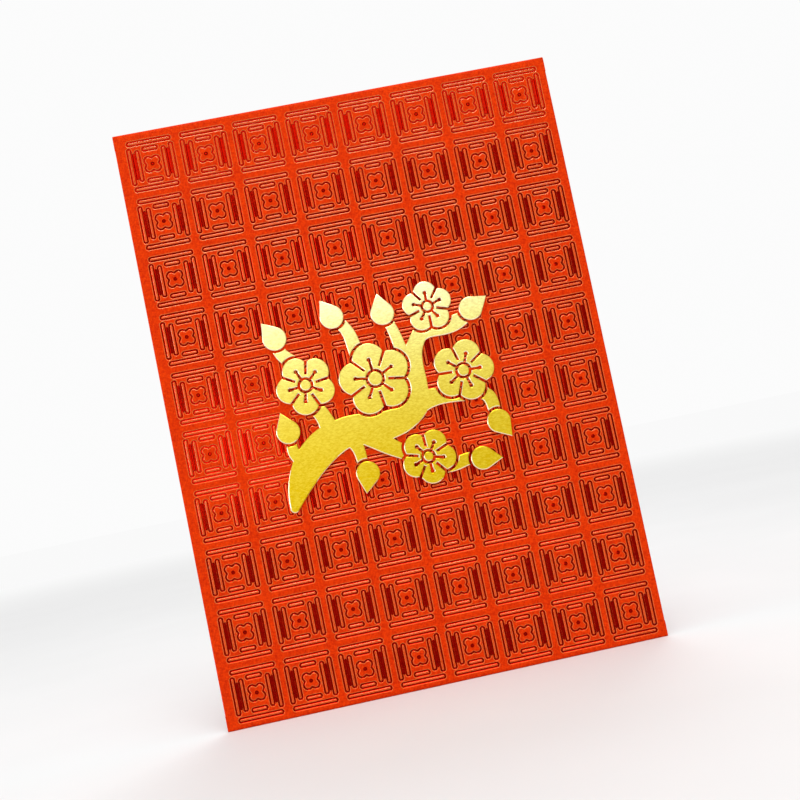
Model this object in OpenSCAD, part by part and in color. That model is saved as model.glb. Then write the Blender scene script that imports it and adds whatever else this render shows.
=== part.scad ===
// Red gift-money packet: one folded sheet of card, stamped with red and gold foil.
// It stands on its bottom crease. X is the width, Z the height, and the front faces -Y.

/* [Packet] */
// Width of the closed packet
packet_w = 85; // [60:1:120]
// Height of the closed packet
packet_h = 115; // [90:1:180]
// Thickness of the card
paper_t = 0.3; // [0.15:0.05:0.5]

/* [Back panel] */
// How far the back panel ends below the top edge
back_drop = 14; // [8:1:30]
// How far the back panel stays in from each side
back_inset = 0.8; // [0.4:0.1:3]
// Radius of the back panel's top corners
back_corner_r = 2; // [0.5:0.5:6]
// Radius of the thumb notch
notch_r = 8.5; // [5:0.5:12]

/* [Closing flap] */
// Length of the closing flap from the top edge
flap_l = 26; // [20:1:45]
// How much each side of the closing flap slants in
flap_slant = 5; // [1:0.5:12]
// Radius of the closing flap's corners
flap_corner_r = 7; // [2:0.5:12]
// Air between the closed flap and the back panel
flap_air = 0.1; // [0.05:0.05:0.5]
// Running gap between the closing flap and its rolled crease
crease_gap = 0.03; // [0.02:0.01:0.1]

/* [Side flaps] */
// Width of each side flap
side_flap_w = 12; // [8:0.5:18]
// Distance of each side crease from the top and the bottom edge
side_crease_end = 3; // [2:0.5:8]
// How far each end of a side flap slants in
side_flap_slant = 6; // [2:0.5:12]

/* [Glue] */
// Width of each glue strip
glue_w = 6; // [3:0.5:8]
// Thickness of each glue strip
glue_t = 0.05; // [0.02:0.01:0.1]
// Distance of each glue strip from the edges of its side flap
glue_margin = 2.5; // [1:0.5:5]

/* [Red foil lattice] */
// Number of tiles across
tile_columns = 8; // [4:1:10]
// Number of tiles down
tile_rows = 10; // [6:1:14]
// Bare margin left of the lattice
margin_left = 2; // [1:0.1:6]
// Bare margin right of the lattice
margin_right = 1.5; // [1:0.1:6]
// Bare margin above the lattice
margin_top = 1; // [1:0.1:6]
// Bare margin below the lattice
margin_bottom = 1.75; // [1:0.05:6]
// Bare strip between tiles across
tile_gap_w = 1.13; // [0.6:0.01:2]
// Bare strip between tiles down
tile_gap_h = 1.24; // [0.6:0.01:2]
// Width of a lattice bar, measured over its foil outline
bar_w = 1.12; // [0.8:0.02:1.2]
// Width of a foil line
line_w = 0.3; // [0.16:0.02:0.36]
// Diameter of a petal of the small flower in each tile
petal_d = 2; // [1.2:0.1:2.2]
// Diameter of that flower's heart
heart_d = 0.8; // [0.4:0.1:1]
// Thickness of the red foil
foil_t = 0.05; // [0.02:0.01:0.1]

/* [Gold blossom sprig] */
// Width of the sprig
sprig_w = 45; // [30:1:55]
// Height of the sprig
sprig_h = 39.5; // [26:0.5:48]
// Distance of the sprig's centre from the left edge
sprig_from_left = 41.9; // [30:0.1:50]
// Distance of the sprig's centre from the top edge
sprig_from_top = 58.25; // [40:0.25:70]
// Width of the bough
bough_w = 6; // [4:0.25:8]
// Width of a twig
twig_w = 3.4; // [2:0.1:5]
// Diameter of a full blossom
blossom_d = 14; // [10:0.5:16]
// Diameter of a bud
bud_d = 4.6; // [3:0.2:6]
// Width of the bare lines around and within the blossoms
vein_w = 0.45; // [0.3:0.05:0.8]
// How far the gold figure stands above the red foil
gold_t = 0.25; // [0.1:0.05:0.4]

/* [Hidden] */
$fn = 64;

card_red = [0.89, 0.24, 0.03];
card_back_red = [0.84, 0.20, 0.04];
foil_red = [0.55, 0.03, 0.02];
foil_gold = [0.93, 0.80, 0.30];
glue_clear = [0.93, 0.90, 0.82];

// Depths, from the gold figure in front to the closing flap behind
stack_t = gold_t + foil_t + 4 * paper_t + glue_t + flap_air;
front_y = gold_t + foil_t - stack_t / 2;
front_inner_y = front_y + paper_t;
side_flap_inner_y = front_inner_y + paper_t;
back_inner_y = side_flap_inner_y + glue_t;
back_y = back_inner_y + paper_t;
flap_inner_y = back_y + flap_air;
flap_y = flap_inner_y + paper_t;

// The bottom crease wraps from the front panel to the back panel
bottom_r = (back_y - front_y) / 2;
bottom_axis_y = (back_y + front_y) / 2;

// The top crease wraps from the front panel to the closing flap
top_r = (flap_y - front_y) / 2;
top_inner_r = top_r - paper_t;
top_axis_y = (flap_y + front_y) / 2;
top_axis_z = packet_h - top_r;
top_curl = acos(top_inner_r / top_r);

side_crease_x = packet_w / 2 - paper_t;
side_crease_h = packet_h - 2 * side_crease_end;
back_w = packet_w - 2 * back_inset;
back_h = packet_h - back_drop - bottom_r;

tile_w = (packet_w - margin_left - margin_right - (tile_columns - 1) * tile_gap_w) / tile_columns;
tile_h = (packet_h - margin_top - margin_bottom - (tile_rows - 1) * tile_gap_h) / tile_rows;

// Rails above and below a tile's centre: distance as a share of its height, length of its width
rail_shares = [[0.444, 0.95], [0.308, 0.36]];
// Posts beside a tile's centre: distance as a share of its width, length of its height
post_shares = [[0.438, 0.735], [0.275, 0.63]];

// Strokes of the sprig: four guide points as shares of its width and height, then three widths
bough_shares = [
    [[0.02, 0.03], [0.06, 0.16], [0.14, 0.30], [0.28, 0.335], [0.3, 1.4, 1]],
    [[0.28, 0.335], [0.38, 0.36], [0.50, 0.28], [0.61, 0.40], [1, 1, 0.8]],
    [[0.59, 0.38], [0.67, 0.50], [0.59, 0.62], [0.685, 0.735], [0.8, 0.6, 0.5]],
    [[0.685, 0.73], [0.74, 0.79], [0.83, 0.70], [0.92, 0.81], [0.5, 0.75, 0.35]],
];
twig_shares = [
    [[0.22, 0.31], [0.25, 0.44], [0.16, 0.48], [0.165, 0.60], [1.1, 0.8, 0.8]],
    [[0.16, 0.62], [0.17, 0.74], [0.07, 0.72], [0.075, 0.85], [0.8, 0.9, 0.6]],
    [[0.45, 0.60], [0.36, 0.72], [0.44, 0.78], [0.33, 0.90], [0.8, 0.9, 0.6]],
    [[0.63, 0.52], [0.58, 0.64], [0.60, 0.76], [0.545, 0.86], [1, 0.6, 0.6]],
    [[0.58, 0.375], [0.68, 0.46], [0.78, 0.40], [0.89, 0.40], [1.3, 0.9, 0.7]],
    [[0.86, 0.40], [0.95, 0.40], [0.92, 0.32], [0.94, 0.245], [0.7, 0.9, 0.6]],
    [[0.36, 0.33], [0.44, 0.25], [0.50, 0.18], [0.61, 0.15], [1.4, 0.8, 0.8]],
    [[0.62, 0.14], [0.69, 0.02], [0.76, 0.13], [0.84, 0.085], [0.7, 0.9, 0.6]],
    [[0.27, 0.33], [0.36, 0.27], [0.32, 0.21], [0.35, 0.12], [1, 0.6, 0.6]],
    [[0.12, 0.25], [0.03, 0.27], [0.07, 0.33], [0.055, 0.40], [1, 0.5, 0.6]],
];
stroke_steps = 16;
cap_steps = 6;

// Blossoms: centre across and up, and diameter, as shares, then the turn of each
blossom_shares = [
    [0.46, 0.565, 1], [0.835, 0.52, 0.86], [0.165, 0.60, 0.82], [0.615, 0.145, 0.76], [0.74, 0.86, 0.70],
];
blossom_turns = [8, -20, 25, 40, 0];
petal_place_share = 0.27;
petal_r_share = 0.23;
blossom_core_share = 0.2;
eye_r_share = 0.13;
cleft_share = 0.18;
anther_share = 0.75;

// Buds: centre across and up as shares, then the turn of each from pointing up
bud_shares = [
    [0.33, 0.90], [0.545, 0.87], [0.92, 0.81], [0.075, 0.85],
    [0.055, 0.395], [0.84, 0.085], [0.94, 0.245], [0.35, 0.125],
];
bud_turns = [25, 5, -62, 30, 12, -100, -150, 165];
bud_point_share = 0.85;

// An outline whose corners are rounded, in steps, to the radius listed for each of them
function unit(v) = v / norm(v);
function corner(before, point, after, r, steps) =
    r == 0 ? [point] :
    let (
        to_before = unit(before - point),
        to_after = unit(after - point),
        half = acos(to_before * to_after) / 2,
        centre = point + unit(to_before + to_after) * r / sin(half),
        from = point + to_before * r / tan(half) - centre,
        to = point + to_after * r / tan(half) - centre
    )
    [for (i = [0 : steps]) let (a = (180 - 2 * half) * i / steps)
        centre + (from * sin(180 - 2 * half - a) + to * sin(a)) / sin(180 - 2 * half)];
function rounded(points, radii, steps = 10) =
    let (n = len(points))
    [for (i = [0 : n - 1])
        each corner(points[(i + n - 1) % n], points[i], points[(i + 1) % n], radii[i], steps)];

// Turns a flat outline of width and height upright, with its depth running to the back
module upright(y, thickness) {
    translate([0, y + thickness, 0]) rotate([90, 0, 0]) linear_extrude(thickness) children();
}

module along_width(length) {
    rotate([90, 0, 90]) translate([0, 0, -length / 2]) linear_extrude(length) children();
}

module half_disc(r) {
    intersection() {
        circle(r);
        translate([0, -r]) square([r, 2 * r]);
    }
}

// The sheet of card
module front_panel() {
    color(card_red) upright(front_y, paper_t) difference() {
        translate([-packet_w / 2, bottom_r]) square([packet_w, top_axis_z - bottom_r]);
        for (side = [-1, 1])
            translate([side * (side_crease_x + paper_t), packet_h / 2])
                square([2 * paper_t, side_crease_h], center = true);
    }
}

module side_flap() {
    color(card_back_red) upright(front_inner_y, paper_t)
        polygon([
            [side_crease_x, side_crease_end],
            [side_crease_x, packet_h - side_crease_end],
            [side_crease_x - side_flap_w, packet_h - side_crease_end - side_flap_slant],
            [side_crease_x - side_flap_w, side_crease_end + side_flap_slant],
        ]);
}

module left_side_flap() {
    mirror([1, 0, 0]) side_flap();
}

module right_side_flap() {
    side_flap();
}

module side_crease() {
    color(card_red) translate([side_crease_x, front_inner_y, side_crease_end])
        linear_extrude(side_crease_h) half_disc(paper_t);
}

module left_crease() {
    mirror([1, 0, 0]) side_crease();
}

module right_crease() {
    side_crease();
}

module bottom_crease() {
    color(card_red) translate([0, bottom_axis_y, bottom_r])
        along_width(packet_w)
            rotate([0, 0, -90]) difference() {
                half_disc(bottom_r);
                circle(bottom_r - paper_t);
            }
}

module back_panel() {
    top_z = bottom_r + back_h;
    color(card_back_red) upright(back_inner_y, paper_t) difference() {
        polygon(rounded(
            [[-back_w / 2, bottom_r], [back_w / 2, bottom_r], [back_w / 2, top_z], [-back_w / 2, top_z]],
            [0, 0, back_corner_r, back_corner_r]));
        translate([0, top_z]) circle(notch_r);
    }
}

// The roll starts at the front, passes over the top and curls in under the closing flap
module top_crease() {
    color(card_red) translate([packet_w / 2, top_axis_y, top_axis_z])
        rotate([90, 0, -90]) rotate_extrude(angle = 180 + top_curl)
            translate([top_inner_r, 0]) square([paper_t, packet_w]);
}

module closing_flap() {
    end_x = packet_w / 2 - flap_slant;
    end_z = packet_h - flap_l;
    crease_x = packet_w / 2;
    color(card_back_red) difference() {
        upright(flap_inner_y, paper_t) polygon(rounded(
            [[-crease_x, top_axis_z], [-end_x, end_z], [end_x, end_z], [crease_x, top_axis_z]],
            [0, flap_corner_r, flap_corner_r, 0]));
        translate([-packet_w, top_axis_y, top_axis_z])
            rotate([0, 90, 0]) cylinder(h = 2 * packet_w, r = top_r + crease_gap);
    }
}

// The glue films
module glue_strip() {
    low_z = side_crease_end + side_flap_slant + glue_margin;
    high_z = packet_h - back_drop - back_corner_r - glue_margin;
    color(glue_clear)
        translate([side_crease_x - glue_margin - glue_w, side_flap_inner_y, low_z])
            cube([glue_w, glue_t, high_z - low_z]);
}

module left_glue_strip() {
    mirror([1, 0, 0]) glue_strip();
}

module right_glue_strip() {
    glue_strip();
}

// The red foil: a stepped lattice of outlined bars around a small flower
module bar(length, width) {
    straight = length - width;
    square([straight, width], center = true);
    for (end = [-1, 1]) translate([end * straight / 2, 0]) circle(width / 2);
}

module bar_face(length) {
    bar(length - 2 * line_w, bar_w - 2 * line_w);
}

module rail(length) {
    difference() {
        bar(length, bar_w);
        bar_face(length);
    }
}

// Two upright posts with foil between them
module posts() {
    inner = post_shares[1];
    filled_h = inner[1] * tile_h - bar_w;
    difference() {
        union() {
            for (post = post_shares)
                translate([post[0] * tile_w, 0]) rotate([0, 0, 90]) bar(post[1] * tile_h, bar_w);
            translate([inner[0] * tile_w, -filled_h / 2])
                square([(post_shares[0][0] - inner[0]) * tile_w, filled_h]);
        }
        for (post = post_shares)
            translate([post[0] * tile_w, 0]) rotate([0, 0, 90]) bar_face(post[1] * tile_h);
    }
}

module four_petals(inset) {
    for (turn = [0 : 90 : 270]) rotate([0, 0, 45 + turn])
        translate([petal_d / 2, 0]) circle(petal_d / 2 - inset);
    square(petal_d - 2 * inset, center = true);
}

module tile_flower() {
    difference() {
        four_petals(0);
        four_petals(line_w);
    }
    circle(heart_d / 2);
}

module tile() {
    for (side = [-1, 1], rail = rail_shares)
        translate([0, side * rail[0] * tile_h]) rail(rail[1] * tile_w);
    posts();
    mirror([1, 0]) posts();
    tile_flower();
}

module red_foil_lattice() {
    color(foil_red) upright(front_y - foil_t, foil_t)
        for (column = [0 : tile_columns - 1], row = [0 : tile_rows - 1])
            translate([
                margin_left - packet_w / 2 + tile_w / 2 + column * (tile_w + tile_gap_w),
                packet_h - margin_top - tile_h / 2 - row * (tile_h + tile_gap_h),
            ]) tile();
}

// The gold foil: a branch in brush strokes, with open blossoms and buds
function on_sprig(share) = [share[0] * sprig_w - sprig_w / 2, share[1] * sprig_h - sprig_h / 2];
function curve(p, t) = let (s = 1 - t)
    s * s * s * p[0] + 3 * s * s * t * p[1] + 3 * s * t * t * p[2] + t * t * t * p[3];
function heading(p, t) = let (s = 1 - t)
    unit(s * s * (p[1] - p[0]) + 2 * s * t * (p[2] - p[1]) + t * t * (p[3] - p[2]));
function swell(widths, t) = let (s = 1 - t)
    s * s * widths[0] + 2 * s * t * widths[1] + t * t * widths[2];

// A stroke follows four guide points, and swells through three widths from its start to its end
module stroke(shares, full_w) {
    p = [for (i = [0 : 3]) on_sprig(shares[i])];
    function rim(t, a) = let (ahead = heading(p, t), aside = [-ahead[1], ahead[0]])
        curve(p, t) + full_w / 2 * swell(shares[4], t) * (cos(a) * ahead + sin(a) * aside);
    polygon([
        for (i = [0 : stroke_steps]) rim(i / stroke_steps, 90),
        for (i = [1 : cap_steps - 1]) rim(1, 90 - 180 * i / cap_steps),
        for (i = [stroke_steps : -1 : 0]) rim(i / stroke_steps, -90),
        for (i = [1 : cap_steps - 1]) rim(0, -90 - 180 * i / cap_steps),
    ]);
}

module blossom_outline(d, grow) {
    for (turn = [0 : 72 : 288]) rotate([0, 0, 90 + turn])
        translate([petal_place_share * d, 0]) circle(petal_r_share * d + grow);
    circle(blossom_core_share * d + grow);
}

module blossom(d) {
    difference() {
        blossom_outline(d, 0);
        difference() {
            circle(eye_r_share * d);
            circle(eye_r_share * d - vein_w);
        }
        for (turn = [0 : 72 : 288]) rotate([0, 0, 90 + turn]) {
            translate([eye_r_share * d - vein_w / 2, -vein_w / 2])
                square([petal_place_share * d - eye_r_share * d, vein_w]);
            translate([petal_place_share * d, 0]) circle(anther_share * vein_w);
            rotate([0, 0, 36]) translate([cleft_share * d, -vein_w / 2]) square([d, vein_w]);
        }
    }
}

// A drop: a disc and the two straight lines that touch it from its point
module bud() {
    r = bud_d / 2;
    point = bud_point_share * bud_d;
    a = asin(r / point);
    circle(r);
    polygon([[0, point], [-r * cos(a), r * sin(a)], [r * cos(a), r * sin(a)]]);
}

module branch() {
    for (shares = bough_shares) stroke(shares, bough_w);
    for (shares = twig_shares) stroke(shares, twig_w);
}

module sprig() {
    flowers = [for (i = [0 : len(blossom_shares) - 1])
        [on_sprig(blossom_shares[i]), blossom_shares[i][2] * blossom_d, blossom_turns[i]]];
    difference() {
        branch();
        for (flower = flowers) translate(flower[0]) rotate([0, 0, flower[2]])
            blossom_outline(flower[1], vein_w);
        for (place = bud_shares) translate(on_sprig(place)) circle(bud_d / 2 + vein_w);
    }
    for (flower = flowers) translate(flower[0]) rotate([0, 0, flower[2]]) blossom(flower[1]);
    for (i = [0 : len(bud_shares) - 1])
        translate(on_sprig(bud_shares[i])) rotate([0, 0, bud_turns[i]]) bud();
}

module gold_blossom_sprig() {
    color(foil_gold) upright(front_y - foil_t - gold_t, gold_t)
        translate([sprig_from_left - packet_w / 2, packet_h - sprig_from_top]) sprig();
}

front_panel();
left_side_flap();
right_side_flap();
back_panel();
left_crease();
right_crease();
bottom_crease();
top_crease();
closing_flap();
left_glue_strip();
right_glue_strip();
red_foil_lattice();
gold_blossom_sprig();
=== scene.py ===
# %% [markdown]
# # A red envelope, dressed for its portrait
# A gift-money packet is one sheet of red card, cut, creased and folded round an empty pocket.
# Before it is folded, two hot stamping dies press metal foil into its front: first a fine red
# lattice over the whole face, and then one large gold figure.
# The exact solids come from the CAD frame. This notebook keeps their places and sizes, and gives
# them what the solids leave out: pressed grooves, soft gold edges, a sheet that bends, and
# finishes. The frame measures in metres, and MM is how many millimetres go into one.

# %% Load the frame
import math
import bmesh
import bpy
from mathutils import Matrix, Vector


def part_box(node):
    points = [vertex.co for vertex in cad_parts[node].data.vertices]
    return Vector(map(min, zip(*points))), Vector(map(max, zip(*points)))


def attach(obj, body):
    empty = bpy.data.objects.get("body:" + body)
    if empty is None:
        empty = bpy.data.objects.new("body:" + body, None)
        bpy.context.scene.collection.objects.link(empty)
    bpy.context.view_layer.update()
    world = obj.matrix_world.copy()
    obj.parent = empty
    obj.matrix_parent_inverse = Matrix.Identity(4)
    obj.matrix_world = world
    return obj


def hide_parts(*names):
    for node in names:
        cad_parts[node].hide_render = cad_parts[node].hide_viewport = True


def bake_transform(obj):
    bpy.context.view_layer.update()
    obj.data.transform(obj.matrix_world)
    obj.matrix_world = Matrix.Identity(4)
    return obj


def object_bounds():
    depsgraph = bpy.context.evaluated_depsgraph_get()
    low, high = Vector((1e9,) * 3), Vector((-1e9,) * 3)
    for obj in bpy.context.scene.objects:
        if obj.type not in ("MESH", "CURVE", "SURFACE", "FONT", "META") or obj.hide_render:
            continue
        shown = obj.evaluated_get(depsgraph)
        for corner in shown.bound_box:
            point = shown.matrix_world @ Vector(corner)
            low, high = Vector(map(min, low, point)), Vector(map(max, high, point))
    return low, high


MM = 1000
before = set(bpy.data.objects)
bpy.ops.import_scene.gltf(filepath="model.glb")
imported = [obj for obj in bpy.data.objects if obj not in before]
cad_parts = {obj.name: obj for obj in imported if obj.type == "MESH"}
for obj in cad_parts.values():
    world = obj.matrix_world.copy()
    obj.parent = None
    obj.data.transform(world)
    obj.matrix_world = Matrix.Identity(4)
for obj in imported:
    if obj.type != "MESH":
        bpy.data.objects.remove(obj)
cad_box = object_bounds()
print("CAD box in mm:", [[round(MM * x, 2) for x in corner] for corner in cad_box])

# %% [markdown]
# The camera comes first, because everything is judged through it. Its place was worked out
# from the four corners of the packet, which are a known 85 by 115 mm apart: it stands
# 21 cm in front, a little low and to the left, and is rolled by 11 degrees.

# %% Camera
def stand_camera(place_mm, ahead, up, focal_px, photo_px=800):
    ahead = Vector(ahead).normalized()
    right = ahead.cross(Vector(up)).normalized()
    data = bpy.data.cameras.new("photo_camera")
    data.lens = data.sensor_width * focal_px / photo_px
    data.clip_start = 0.01
    camera = bpy.data.objects.new("photo_camera", data)
    turn = Matrix((right, right.cross(ahead), -ahead)).transposed().to_4x4()
    camera.matrix_world = Matrix.Translation(Vector(place_mm) / MM) @ turn
    bpy.context.scene.collection.objects.link(camera)
    bpy.context.scene.camera = camera
    return camera


front_low, front_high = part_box("front_panel")
camera = stand_camera(
    place_mm=(-11.2, MM * front_low.y - 209.5, 43.4), ahead=(0.06, 0.9968, 0.0522),
    up=(0.199, -0.0632, 0.978), focal_px=1100)
print("lens", round(camera.data.lens, 1), "mm")

# %% [markdown]
# Card is worked flat. So here is a bench: a drawing in millimetres, with x to the right, y up
# the packet and z towards the person who looks at its front. A CAD node can be copied onto
# the bench, and one turn about X with one scale stands finished work up in the frame. Points
# closer than a thousandth of a millimetre are one point.

# %% Bench
STAND_UP = Matrix.Rotation(math.radians(90), 4, "X") @ Matrix.Scale(1 / MM, 4)
MERGE = 0.001


def lay_on_bench(node):
    bench = bmesh.new()
    bench.from_mesh(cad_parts[node].data)
    bmesh.ops.transform(bench, matrix=STAND_UP.inverted(), verts=bench.verts)
    bmesh.ops.remove_doubles(bench, verts=bench.verts, dist=MERGE)
    return bench


def take_off_bench(bench, name, materials, body, replaces):
    bmesh.ops.transform(bench, matrix=STAND_UP, verts=bench.verts)
    mesh = bpy.data.meshes.new(name)
    bench.to_mesh(mesh)
    bench.free()
    for material in materials:
        mesh.materials.append(material)
    piece = bpy.data.objects.new(name, mesh)
    bpy.context.scene.collection.objects.link(piece)
    if body:
        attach(piece, body)
    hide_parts(*replaces)
    print(name, "has", len(mesh.polygons), "faces")
    return piece


# %% [markdown]
# Finishes are made of shader nodes, and their sums are easier to read as sums. `Wire` holds
# a socket and answers to +, * and ** by adding a Math node. `Finish` is one material: its
# method `node` takes a node's type, the values or wires of its sockets, and its settings,
# such as the two stops of a ramp. A Mix node keeps its colours in sockets that only their
# numbers tell apart from the others.

# %% Shader maths
class Wire:
    def __init__(self, finish, socket):
        self.finish = finish
        self.socket = socket

    def math(self, operation, first, second):
        return self.finish.node("ShaderNodeMath", {0: first, 1: second}, operation=operation)

    def __add__(self, other):
        return self.math("ADD", self, other)

    def __mul__(self, other):
        return self.math("MULTIPLY", self, other)

    def __pow__(self, other):
        return self.math("POWER", self, other)

    def __rpow__(self, other):
        return self.math("POWER", other, self)

    __radd__ = __add__
    __rmul__ = __mul__


MIX_SHARE, MIX_FIRST, MIX_SECOND, MIX_RESULT = 0, 6, 7, 2


class Finish:
    def __init__(self, name, **constants):
        self.material = bpy.data.materials.new(name)
        self.material.use_nodes = True
        self.tree = self.material.node_tree
        self.shader = self.tree.nodes["Principled BSDF"]
        for socket, value in constants.items():
            self.shader.inputs[socket.replace("_", " ")].default_value = value
        self.place = self.node("ShaderNodeTexCoord", output="Object")

    def node(self, kind, inputs=None, output=0, stops=None, **settings):
        node = self.tree.nodes.new(kind)
        for name, value in settings.items():
            setattr(node, name, value)
        if stops:
            for stop, (position, value) in zip(node.color_ramp.elements, stops):
                stop.position = position
                stop.color = (value, value, value, 1)
        for socket, value in (inputs or {}).items():
            if isinstance(value, Wire):
                self.tree.links.new(value.socket, node.inputs[socket])
            else:
                node.inputs[socket].default_value = value
        return Wire(self, node.outputs[output])

    def grain(self, size_mm, stretch=(1, 1, 1), turn=0, detail=2, roughness=0.5):
        turned = self.node(
            "ShaderNodeMapping", {"Vector": self.place, "Rotation": (0, turn, 0), "Scale": stretch},
            vector_type="TEXTURE")
        return self.node("ShaderNodeTexNoise", {
            "Vector": turned, "Scale": MM / size_mm, "Detail": detail, "Roughness": roughness})

    def blend(self, share, first, second):
        return self.node(
            "ShaderNodeMix", {MIX_SHARE: share, MIX_FIRST: first, MIX_SECOND: second},
            output=MIX_RESULT, data_type="RGBA")

    def plug(self, socket, wire):
        self.tree.links.new(wire.socket, self.shader.inputs[socket])

    def bump(self, height, depth_mm, strength):
        self.plug("Normal", self.node("ShaderNodeBump", {
            "Height": height, "Distance": depth_mm / MM, "Strength": strength}))


# %% [markdown]
# The card is dyed through: the cut edges are as red as the faces. It is uncoated, so it is
# matte, with fibres that lie every way and a faint mottle where the dye took unevenly.
# Two stretched noises, turned against each other, make the fibres, and a slow one the mottle.
# The mapping's type is the one that stretches before it turns: the other type would draw
# every fibre upright.

# %% Red card
card = Finish("red_card", Roughness=0.62, Specular_IOR_Level=0.04)
FIBRE_MM, FIBRE_STRETCH = 0.3, (1, 1, 2.5)
one_way = card.grain(FIBRE_MM, stretch=FIBRE_STRETCH, turn=0.4)
other_way = card.grain(FIBRE_MM, stretch=FIBRE_STRETCH, turn=1.97)
fibres = 0.5 * one_way + 0.5 * other_way
mottle = card.grain(9, detail=3)
tone = card.node("ShaderNodeMapRange", {
    "Value": fibres * 0.85 + mottle * 0.15, "From Min": 0.33, "From Max": 0.67})
card.plug("Base Color", card.blend(tone, (0.60, 0.019, 0.0004, 1), (0.93, 0.058, 0.0012, 1)))
card.bump(fibres, 0.02, 0.5)

# %% [markdown]
# Beside each groove the hot die has flattened the fibres. Flattened card is smoother and a little
# paler, so the rims of the grooves shine, with a tint of the dye in their shine. Their base colour
# is a salmon much paler than that, and this extra paleness is a painted sheen.

# %% Burnished card with painted sheen
rim = Finish(
    "burnished_card_painted_sheen", Roughness=0.22, Specular_IOR_Level=1.0, Specular_Tint=(1, 0.7, 0.4, 1))
flattened = rim.grain(FIBRE_MM)
# painted sheen: the rim's base colour is a pale salmon, far paler than the card's own red
rim.plug("Base Color", rim.blend(flattened, (0.80, 0.10, 0.006, 1), (1.0, 0.22, 0.035, 1)))
rim.bump(flattened, 0.02, 0.3)

# %% [markdown]
# Red stamping foil is aluminium under a red lacquer, which lets only red back out. Its base colour
# is a painted shade, darker than the foil's own, standing for the dim surroundings a real foil
# mirrors, so its lines light up only where they mirror a lamp. A fine ripple keeps those glints
# from being ruled.
# The tint keeps the lacquer's red in the foil's shine when it is seen from the side.

# %% Red foil
foil = Finish("red_foil", Metallic=1.0, Specular_Tint=(1, 0.25, 0.2, 1))
ripple = foil.grain(0.6)
# painted shade: both base tones are darker than the foil's own red, standing for dim mirrored
# surroundings
foil.plug("Base Color", foil.blend(ripple, (0.14, 0.0003, 0.0001, 1), (0.36, 0.005, 0.001, 1)))
foil.plug("Roughness", ripple * 0.1 + 0.08)
foil.bump(ripple, 0.02, 0.4)

# %% [markdown]
# The gold foil is pressed over the card's own fibres, so it sparkles in short strokes instead
# of shining like a mirror: the strokes roughen and bump it, and they also mix painted lit and
# shaded tones into its colour, as painted glints. Its tint follows the height of the figure as
# painted light: deep yellow at its foot, lemon above, and a painted cream highlight only near
# its head. Powers of the height's share keep each tone low until its turn comes, and the two
# crossed grains break all of them up.

# %% Gold foil
sprig_low, sprig_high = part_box("gold_blossom_sprig")
gold = Finish("gold_foil", Metallic=1.0)
height = gold.node("ShaderNodeSeparateXYZ", {0: gold.place}, output=2)
share = gold.node("ShaderNodeMapRange", {
    "Value": height, "From Min": sprig_low.z, "From Max": sprig_high.z})
long_strokes = gold.grain(0.26, stretch=(3.5, 1, 1), turn=0.3, detail=3, roughness=0.7)
short_strokes = gold.grain(0.24, stretch=(2.5, 1, 1), turn=-0.35, detail=3, roughness=0.7)
sparkle = 0.55 * long_strokes + 0.45 * short_strokes
# painted light: the gold grows paler with height, up to a painted cream highlight at the head
lemon_painted_light = gold.blend(share ** 1.7, (0.67, 0.46, 0.001, 1), (0.92, 0.89, 0.14, 1))
height_painted_light = gold.blend(share ** 4, lemon_painted_light, (0.96, 0.95, 0.62, 1))
# painted glints: the grain mixes a painted shaded tone and a painted lit tone of the gold
glint = gold.node("ShaderNodeValToRGB", {0: sparkle}, stops=[(0.42, 0), (0.58, 1)])
shaded = gold.blend(0.3, height_painted_light, (0.45, 0.25, 0.001, 1))
lit = gold.blend(0.1, height_painted_light, (1, 1, 0.25, 1))
gold.plug("Base Color", gold.blend(glint, shaded, lit))
gold.plug("Roughness", sparkle * 0.25 + 0.22)
gold.bump(sparkle, 0.06, 0.6)

# %% [markdown]
# The step round the gold figure carries a painted highlight: where it faces down or left,
# towards the bright floor, it is coloured pale cream. Its other sides stay gold.

# %% Painted highlight on the gold's edge
painted_edge_highlight = Finish("gold_edge_painted_highlight", Metallic=1.0, Roughness=0.3)
specks = painted_edge_highlight.grain(FIBRE_MM)
painted_edge_highlight.plug("Base Color", painted_edge_highlight.blend(specks, (1.0, 0.88, 0.5, 1), (1.0, 0.96, 0.74, 1)))

# %% [markdown]
# Dried glue is a thin clear film that has sunk into the card: pale, a little glossy, uneven.

# %% Glue
glue = Finish("glue_film", Roughness=0.3)
lumps = glue.grain(2.5)
glue.plug("Base Color", glue.blend(lumps, (0.72, 0.30, 0.20, 1), (0.82, 0.55, 0.42, 1)))
glue.bump(lumps, 0.02, 0.6)

# %% [markdown]
# Each tile of the lattice is the same few bars round a small flower. A die sinks a bar's
# outline into the card: a flat-bottomed groove with steep walls, lined with foil, between two
# burnished rims. The card inside swells a little.
# A bar could be drawn point by point. It is less work to pull a circle apart in its middle,
# and then to inset the plate again and again, with a new depth each time.

# %% Groove round a plate
CARD, FOIL, RIM = 0, 1, 2
LIP_W, WALL_W, FLAT_W = 0.1, 0.08, 0.2
LIP_D, GROOVE_D, SWELL = 0.045, 0.06, 0.035
PRESSING = [
    (LIP_W, -LIP_D, RIM),
    (WALL_W, -GROOVE_D, FOIL),
    (FLAT_W, 0, FOIL),
    (WALL_W, GROOVE_D, FOIL),
    (LIP_W, LIP_D + SWELL / 2, RIM),
    (0.7 * LIP_W, SWELL / 2, CARD),
]


def press(bench, plate):
    for inward, depth, stuff in PRESSING:
        ring = bmesh.ops.inset_individual(
            bench, faces=[plate], thickness=inward, depth=depth, use_even_offset=True)["faces"]
        for face in ring:
            face.material_index = stuff


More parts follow.
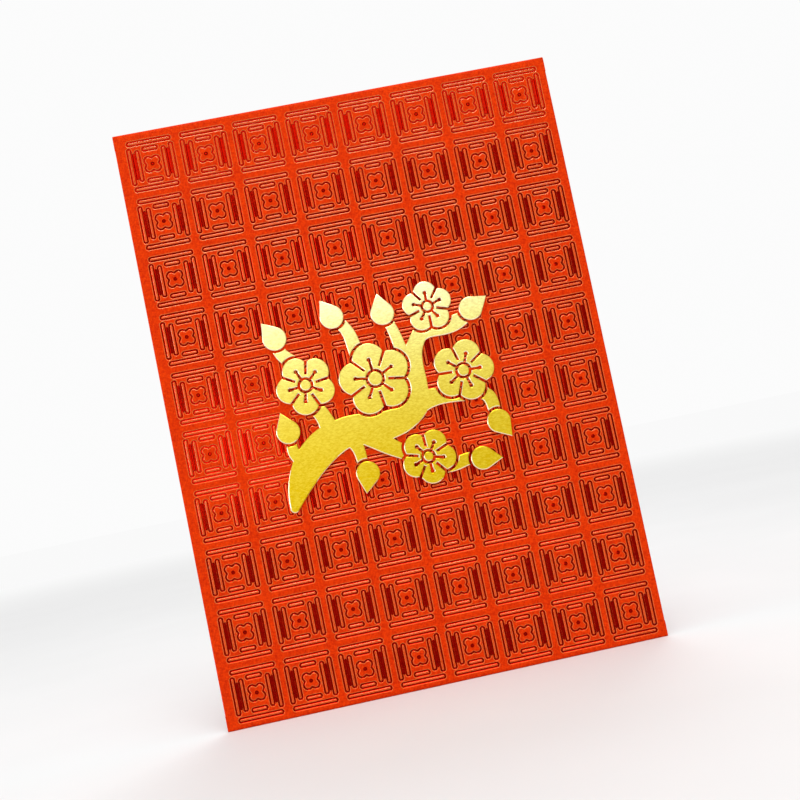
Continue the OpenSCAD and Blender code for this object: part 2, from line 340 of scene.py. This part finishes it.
def round_bar(bench, centre, length, width, upright=False):
    points = bmesh.ops.create_circle(bench, cap_ends=True, segments=12, radius=width / 2)["verts"]
    bmesh.ops.rotate(bench, matrix=Matrix.Rotation(math.radians(15), 3, "Z"), verts=points)
    for side in (-1, 1):
        end = [point for point in points if point.co.x * side > 0]
        bmesh.ops.translate(bench, vec=(side * (length - width) / 2, 0, 0), verts=end)
    if upright:
        bmesh.ops.rotate(bench, matrix=Matrix.Rotation(math.radians(90), 3, "Z"), verts=points)
    bmesh.ops.translate(bench, vec=(*centre, 0), verts=points)
    return points[0].link_faces[0]


# %% [markdown]
# The lattice fills the front but for narrow margins, in columns and rows of tiles with bare
# strips between them, and that gives the size of a tile. All its bars are equally wide.
# The flower in a tile has four round petals that meet in the middle. Seen from there, their
# rim is as far away as the cosine of the angle to the nearest petal's axis says, so a
# circle's points only have to slide out or in along their own directions.

# %% One tile
PACKET_W, PACKET_H = 85, 115
MARGIN_LEFT, MARGIN_RIGHT, MARGIN_TOP, MARGIN_BOTTOM = 2, 1.5, 1, 1.75
COLUMNS, ROWS = 8, 10
STRIP_W, STRIP_H = 1.13, 1.24
TILE_W = (PACKET_W - MARGIN_LEFT - MARGIN_RIGHT - (COLUMNS - 1) * STRIP_W) / COLUMNS
TILE_H = (PACKET_H - MARGIN_TOP - MARGIN_BOTTOM - (ROWS - 1) * STRIP_H) / ROWS
PITCH_W, PITCH_H = TILE_W + STRIP_W, TILE_H + STRIP_H
BAR_W, PETAL_D, HEART_D = 1.12, 2, 0.8
RAILS = [(0.444 * TILE_H, 0.95 * TILE_W), (0.308 * TILE_H, 0.36 * TILE_W)]
POSTS = [(0.438 * TILE_W, 0.735 * TILE_H), (0.275 * TILE_W, 0.63 * TILE_H)]


def flower_plate(bench, grow):
    points = bmesh.ops.create_circle(bench, cap_ends=True, segments=24, radius=1)["verts"]
    for point in points:
        turn = math.atan2(point.co.y, point.co.x) % math.radians(90)
        point.co *= PETAL_D * math.cos(turn - math.radians(45)) + grow
    return points[0].link_faces[0]


def pressed_tile():
    bench = bmesh.new()
    wide = 2 * LIP_W
    plates = [flower_plate(bench, LIP_W)]
    for side in (-1, 1):
        for y, length in RAILS:
            plates.append(round_bar(bench, (0, side * y), length + wide, BAR_W + wide))
        for x, length in POSTS:
            plates.append(
                round_bar(bench, (side * x, 0), length + wide, BAR_W + wide, upright=True))
    for plate in plates:
        press(bench, plate)
    return bench


tile = pressed_tile()
foil_faces = sum(face.material_index == FOIL for face in tile.faces)
print("one tile has", len(tile.faces), "faces,", foil_faces, "of them foil")

# %% [markdown]
# The tile is stamped 80 times, in 8 columns and 10 rows, from the top left corner inwards. The
# CAD says where that corner is, and how far forward the card's face lies.

# %% Eighty tiles
FIRST_X = MM * cad_box[0].x + MARGIN_LEFT + TILE_W / 2
FIRST_Y = MM * front_high.z - MARGIN_TOP - TILE_H / 2
FRONT = -MM * front_low.y


def repeat(bench, lift):
    pattern = bench.verts[:] + bench.edges[:] + bench.faces[:]
    for column in range(COLUMNS):
        for row in range(ROWS):
            copy = bmesh.ops.duplicate(bench, geom=pattern)["geom"]
            points = [part for part in copy if isinstance(part, bmesh.types.BMVert)]
            place = (FIRST_X + column * PITCH_W, FIRST_Y - row * PITCH_H, lift)
            bmesh.ops.translate(bench, vec=place, verts=points)
    first = [part for part in pattern if isinstance(part, bmesh.types.BMVert)]
    bmesh.ops.delete(bench, geom=first, context="VERTS")


# %% [markdown]
# The foil is the same rings without the card between them, lifted by a hair and given a
# thickness. Between the posts the die leaves no card at all, so a ridge of foil fills the
# gap there, and a drop of foil is the flower's heart.

# %% Foil lines
FOIL_T, FOIL_LIFT, FOIL_LAP = 0.01, 0.018, 0.04
RIDGE_RISE, HEART_RISE = 0.02, 0.04


def foil_ridge(bench, plate, inward, rise):
    bmesh.ops.inset_individual(
        bench, faces=[plate], thickness=inward, depth=rise, use_even_offset=True)


def foil_tile(pressed):
    bench = pressed.copy()
    bare = [face for face in bench.faces if face.material_index != FOIL]
    bmesh.ops.delete(bench, geom=bare, context="FACES")
    (outer_x, _), (inner_x, inner_length) = POSTS
    gap_w = outer_x - inner_x - BAR_W
    for side in (-1, 1):
        middle = (side * (outer_x + inner_x) / 2, 0)
        ridge = round_bar(bench, middle, inner_length - BAR_W, gap_w + FOIL_LAP, upright=True)
        foil_ridge(bench, ridge, gap_w / 3, RIDGE_RISE)
    heart = bmesh.ops.create_circle(bench, cap_ends=True, segments=8, radius=HEART_D / 2)["verts"]
    bmesh.ops.translate(bench, vec=(0, 0, SWELL), verts=heart)
    foil_ridge(bench, heart[0].link_faces[0], HEART_D / 4, HEART_RISE)
    bmesh.ops.translate(bench, vec=(0, 0, FOIL_LIFT), verts=bench.verts)
    bmesh.ops.recalc_face_normals(bench, faces=bench.faces)
    bmesh.ops.solidify(bench, geom=bench.faces[:], thickness=FOIL_T)
    return bench


lines = foil_tile(tile)
repeat(lines, FRONT)
take_off_bench(
    lines, "foil_lines", [foil.material], "packet", ["red_foil_lattice"])

# %% [markdown]
# The card under the foil carries the same grooves. Each tile gets its share of flat ground,
# filled with triangles up to the middle of the bare strips, so that neighbours meet. The
# sheet's back and edges are those of the CAD node, whose flat front makes way for this one.
# A face counts as level at a height if its middle is near it and its normal is within 8 degrees
# of the way to the viewer, or of the way back.

# %% Stamped front
LEVEL, NEAR = 0.99, 0.01


def fill_ground(bench):
    rims = [edge for edge in bench.edges if edge.is_boundary or edge.is_wire]
    made = bmesh.ops.triangle_fill(
        bench, edges=rims, use_beauty=True, use_dissolve=False, normal=(0, 0, 1))
    return [part for part in made["geom"] if isinstance(part, bmesh.types.BMFace)]


def level_faces(bench, height, facing=1):
    return [
        face for face in bench.faces
        if facing * face.normal.z > LEVEL and abs(face.calc_center_median().z - height) < NEAR]


cell = bmesh.ops.create_grid(tile, x_segments=1, y_segments=1, size=0.5)["verts"]
bmesh.ops.scale(tile, vec=(PITCH_W, PITCH_H, 1), verts=cell)
bmesh.ops.delete(tile, geom=cell[0].link_faces[:], context="FACES_ONLY")
fill_ground(tile)
repeat(tile, FRONT)
for face in tile.faces:
    face.material_index = int(face.material_index == RIM)
bmesh.ops.remove_doubles(tile, verts=[v for v in tile.verts if v.is_boundary], dist=MERGE)

sheet = lay_on_bench("front_panel")
bmesh.ops.delete(sheet, geom=level_faces(sheet, FRONT), context="FACES")
stamped = bpy.data.meshes.new("stamped")
tile.to_mesh(stamped)
tile.free()
sheet.from_mesh(stamped)
margins = fill_ground(sheet)
print("margins filled with", len(margins), "triangles")
print("open edges left in the sheet:", sum(edge.is_boundary for edge in sheet.edges))
take_off_bench(
    sheet, "front_sheet", [card.material, rim.material], "packet", ["front_panel"])

# %% [markdown]
# The gold figure stands a quarter of a millimetre proud, and its edges are soft, because the
# counter-die pushes the card up from behind. The CAD solid has the outline. Its front face is
# sunk to where the edge begins, and three insets climb back to the top, steep at first and
# then ever flatter. The faces of the insets that look down or left get a pale cream colour, a
# painted highlight.

# %% Gold sprig
EDGE = [(0.05, 0.09), (0.07, 0.055), (0.09, 0.025)]
HIGHLIGHT_WAY, HIGHLIGHT_FROM = Vector((-0.6, -0.8, 0)), 0.1
sprig = lay_on_bench("gold_blossom_sprig")
face_up = level_faces(sprig, max(point.co.z for point in sprig.verts))
rises = sum(rise for _, rise in EDGE)
points = list({point for face in face_up for point in face.verts})
bmesh.ops.translate(sprig, vec=(0, 0, -rises), verts=points)
for inward, rise in EDGE:
    ring = bmesh.ops.inset_region(
        sprig, faces=face_up, thickness=inward, depth=rise, use_boundary=True,
        use_even_offset=False)["faces"]
    for face in ring:
        face.smooth = True
        face.normal_update()
        # painted highlight: inset faces that look down or left take the pale cream material
        face.material_index = int(face.normal.dot(HIGHLIGHT_WAY) > HIGHLIGHT_FROM)
take_off_bench(
    sprig, "gold_sprig", [gold.material, painted_edge_highlight.material], "packet",
    ["gold_blossom_sprig"])

# %% [markdown]
# Card doesn't stay dead flat. The back panel sinks a little where no side flap is folded
# under it, and the edges of those flaps print through. The CAD node has the outline, with its
# thumb notch, but no points in between. Slices a few millimetres apart give the sheet points
# that can sink. The ramps say over how many millimetres it gets to its full depth, from a side
# flap inwards and from the hem up. It has a head start at the flap's edge.

# %% Back sheet
SINK, SIDE_RAMP, HEM_RAMP, HEAD_START = 0.16, 2.5, 6, 0.3
BACK_SLICE_W, BACK_SLICE_H = 1.5, 4


def slice_up(bench, low, high, step, across):
    cuts = int((high - low) / step)
    for i in range(1, cuts):
        at = low + (high - low) * i / cuts
        bmesh.ops.bisect_plane(
            bench, geom=bench.verts[:] + bench.edges[:] + bench.faces[:],
            plane_co=across * at, plane_no=across)


def ease(share):
    share = min(max(share, 0), 1)
    return share * share * (3 - 2 * share)


back_low, back_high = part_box("back_panel")
flap_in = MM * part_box("left_side_flap")[1].x
hem = MM * back_low.z
back = lay_on_bench("back_panel")
slice_up(back, MM * back_low.x, MM * back_high.x, BACK_SLICE_W, Vector((1, 0, 0)))
slice_up(back, hem, MM * back_high.z, BACK_SLICE_H, Vector((0, 1, 0)))
for point in back.verts:
    clear = ease((-flap_in - abs(point.co.x)) / SIDE_RAMP + HEAD_START)
    risen = ease((point.co.y - hem) / HEM_RAMP)
    point.co.z += SINK * clear * risen
print("open edges left in the back:", sum(edge.is_boundary for edge in back.edges))
take_off_bench(back, "back_sheet", [card.material], "packet", ["back_panel"])

# %% [markdown]
# The closing flap and the crease it hangs from are one stretch of card, and the crease
# bends when the flap opens. The flap's outer face gives the outline. Its top edge is raised to the
# crease, and slices give it points that can bend. Folded card springs back a little, so the
# flap's free end stands off the back by under half a millimetre.

# %% Flap outline
CARD_T, SPRING = 0.3, 0.4
FLAP_SLICE_W, FLAP_SLICE_H = 3, 2
crease_low, crease_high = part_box("top_crease")
roll_r = MM * (crease_high.y - crease_low.y) / 2
axis_y = MM * crease_high.z - roll_r
axis_z = -MM * (crease_high.y + crease_low.y) / 2
flap = lay_on_bench("closing_flap")
outside = level_faces(flap, min(point.co.z for point in flap.verts), facing=-1)
inside = [face for face in flap.faces if face not in outside]
bmesh.ops.delete(flap, geom=inside, context="FACES")
top_edge = max(point.co.y for point in flap.verts)
for point in flap.verts:
    if point.co.y > top_edge - NEAR:
        point.co.y = axis_y
        point.co.x = math.copysign(MM * crease_high.x, point.co.x)
free_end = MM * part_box("closing_flap")[0].z
slice_up(flap, MM * crease_low.x, MM * crease_high.x, FLAP_SLICE_W, Vector((1, 0, 0)))
slice_up(flap, free_end, axis_y, FLAP_SLICE_H, Vector((0, 1, 0)))
for point in flap.verts:
    point.co.z -= SPRING * ((axis_y - point.co.y) / (axis_y - free_end)) ** 2
print("flap outline has", len(flap.faces), "faces and springs up", SPRING, "mm")

# %% [markdown]
# Now the crease. Half a turn of its edge about the middle of the roll makes the bend. The
# surface then gets the card's thickness.

# %% Roll of the top crease
BEND_STEPS = 12
hung = [
    edge for edge in flap.edges if all(point.co.y > axis_y - MERGE for point in edge.verts)]
bmesh.ops.spin(
    flap, geom=hung, cent=(0, axis_y, axis_z), axis=(1, 0, 0), dvec=(0, 0, 0), angle=math.pi,
    steps=BEND_STEPS, use_merge=False)
bmesh.ops.remove_doubles(flap, verts=flap.verts, dist=MERGE)
print("crease reaches", round(max(point.co.y for point in flap.verts), 2), "mm up")
bmesh.ops.recalc_face_normals(flap, faces=flap.faces)
bmesh.ops.solidify(flap, geom=flap.faces[:], thickness=CARD_T)
for face in flap.faces:
    face.smooth = face.calc_center_median().y > axis_y
flap_sheet = take_off_bench(
    flap, "flap_sheet", [card.material], None, ["top_crease", "closing_flap"])
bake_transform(flap_sheet)

# %% [markdown]
# The side flaps, their creases and the glue keep their CAD shapes, which are right as they
# are: each gets its finish in its own material slot.

# %% Finishes for the CAD nodes
KEPT = {
    card: ["left_side_flap", "right_side_flap", "left_crease", "right_crease", "bottom_crease"],
    glue: ["left_glue_strip", "right_glue_strip"],
}
for finish, nodes in KEPT.items():
    for node in nodes:
        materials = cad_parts[node].data.materials
        materials.clear()
        materials.append(finish.material)
    print(finish.material.name, "on", ", ".join(nodes))

# %% [markdown]
# The floor is plain and pale. A real one would go on for ever: here its far part fades into the
# sky's colour, for the eye and for mirrors only, so that it adds no light.

# %% Floor
FLOOR_W, FADE_FROM, FADE_TO = 6, 0.12, 0.9
bpy.context.scene.view_settings.view_transform = "Standard"
bpy.ops.mesh.primitive_plane_add(size=FLOOR_W)
floor = bpy.context.object
floor.name = "floor"
ground = Finish("pale_floor", Roughness=0.7)
cloud = ground.grain(60, detail=3)
ground.plug("Base Color", ground.blend(cloud, (0.74, 0.74, 0.74, 1), (0.8, 0.8, 0.8, 1)))
floor.data.materials.append(ground.material)
way_off = ground.node("ShaderNodeVectorMath", {0: ground.place}, output=1, operation="LENGTH")
far = ground.node(
    "ShaderNodeMapRange", {"Value": way_off, "From Min": FADE_FROM, "From Max": FADE_TO},
    interpolation_type="SMOOTHSTEP")
eye = ground.node("ShaderNodeLightPath", output="Is Camera Ray")
mirror = ground.node("ShaderNodeLightPath", output="Is Glossy Ray")
haze = ground.node("ShaderNodeEmission", {"Color": (0.95, 0.95, 0.95, 1)})
near_floor = Wire(ground, ground.shader.outputs[0])
faded = ground.node("ShaderNodeMixShader", {0: far * (eye + mirror), 1: near_floor, 2: haze})
ground.tree.links.new(faded.socket, ground.tree.nodes["Material Output"].inputs["Surface"])
print("floor is", round(floor.dimensions.x, 1), "m wide")

# %% [markdown]
# The sky shows white to the eye and to the foils, and lights the card at a plain level.

# %% Sky
SKY_LIGHT, SKY_SHOWN = 0.44, 0.97
world = bpy.data.worlds.new("pale_sky")
bpy.context.scene.world = world
world.use_nodes = True
nodes, links = world.node_tree.nodes, world.node_tree.links
sky = nodes["Background"]
sky.inputs["Color"].default_value = (1, 1, 1, 1)
path = nodes.new("ShaderNodeLightPath")
level = nodes.new("ShaderNodeMapRange")
seen = nodes.new("ShaderNodeMath")
seen.operation = "MAXIMUM"
links.new(path.outputs["Is Camera Ray"], seen.inputs[0])
links.new(path.outputs["Is Glossy Ray"], seen.inputs[1])
links.new(seen.outputs[0], level.inputs["Value"])
level.inputs["To Min"].default_value = SKY_LIGHT
level.inputs["To Max"].default_value = SKY_SHOWN
links.new(level.outputs[0], sky.inputs["Strength"])
print("sky gives", SKY_LIGHT, "and shows", SKY_SHOWN)

# %% [markdown]
# Five soft lamps, each as wide and as high as it looks from the packet, in degrees. The top one
# draws the pale rim of each groove. The front strip is what the top row of tiles mirrors, and
# the small window is what the tiles half way up on the left mirror. The left one fills in, and
# the back one shows the folds behind by the thin shadow of the flap. All aim near the
# middle of the packet, from the same distance in metres.

# %% Lamps
AIM = Vector((0, 0, 0.06))
LAMP_WAY_OFF = 0.8


def soft_lamp(name, azimuth, elevation, wide, high, radiance):
    turn, rise = math.radians(azimuth), math.radians(elevation)
    way = Vector((
        math.sin(turn) * math.cos(rise), -math.cos(turn) * math.cos(rise), math.sin(rise)))
    data = bpy.data.lights.new(name, "AREA")
    data.shape = "RECTANGLE"
    data.size = 2 * LAMP_WAY_OFF * math.tan(math.radians(wide / 2))
    data.size_y = 2 * LAMP_WAY_OFF * math.tan(math.radians(high / 2))
    data.energy = radiance * math.pi * data.size * data.size_y
    lamp = bpy.data.objects.new(name, data)
    lamp.visible_camera = False
    look = way.to_track_quat("Z", "Y").to_matrix().to_4x4()
    lamp.matrix_world = Matrix.Translation(way * LAMP_WAY_OFF + AIM) @ look
    bpy.context.scene.collection.objects.link(lamp)
    print(name, "gives", round(data.energy, 2), "W")


soft_lamp("top_lamp", azimuth=4, elevation=70, wide=28, high=36, radiance=7)
soft_lamp("front_strip", azimuth=3, elevation=21, wide=36, high=5, radiance=2.8)
soft_lamp("window_lamp", azimuth=-7.5, elevation=1.5, wide=7, high=7, radiance=4.2)
soft_lamp("left_lamp", azimuth=-82, elevation=4, wide=25, high=25, radiance=6)
soft_lamp("back_lamp", azimuth=165, elevation=56, wide=26, high=26, radiance=3.6)
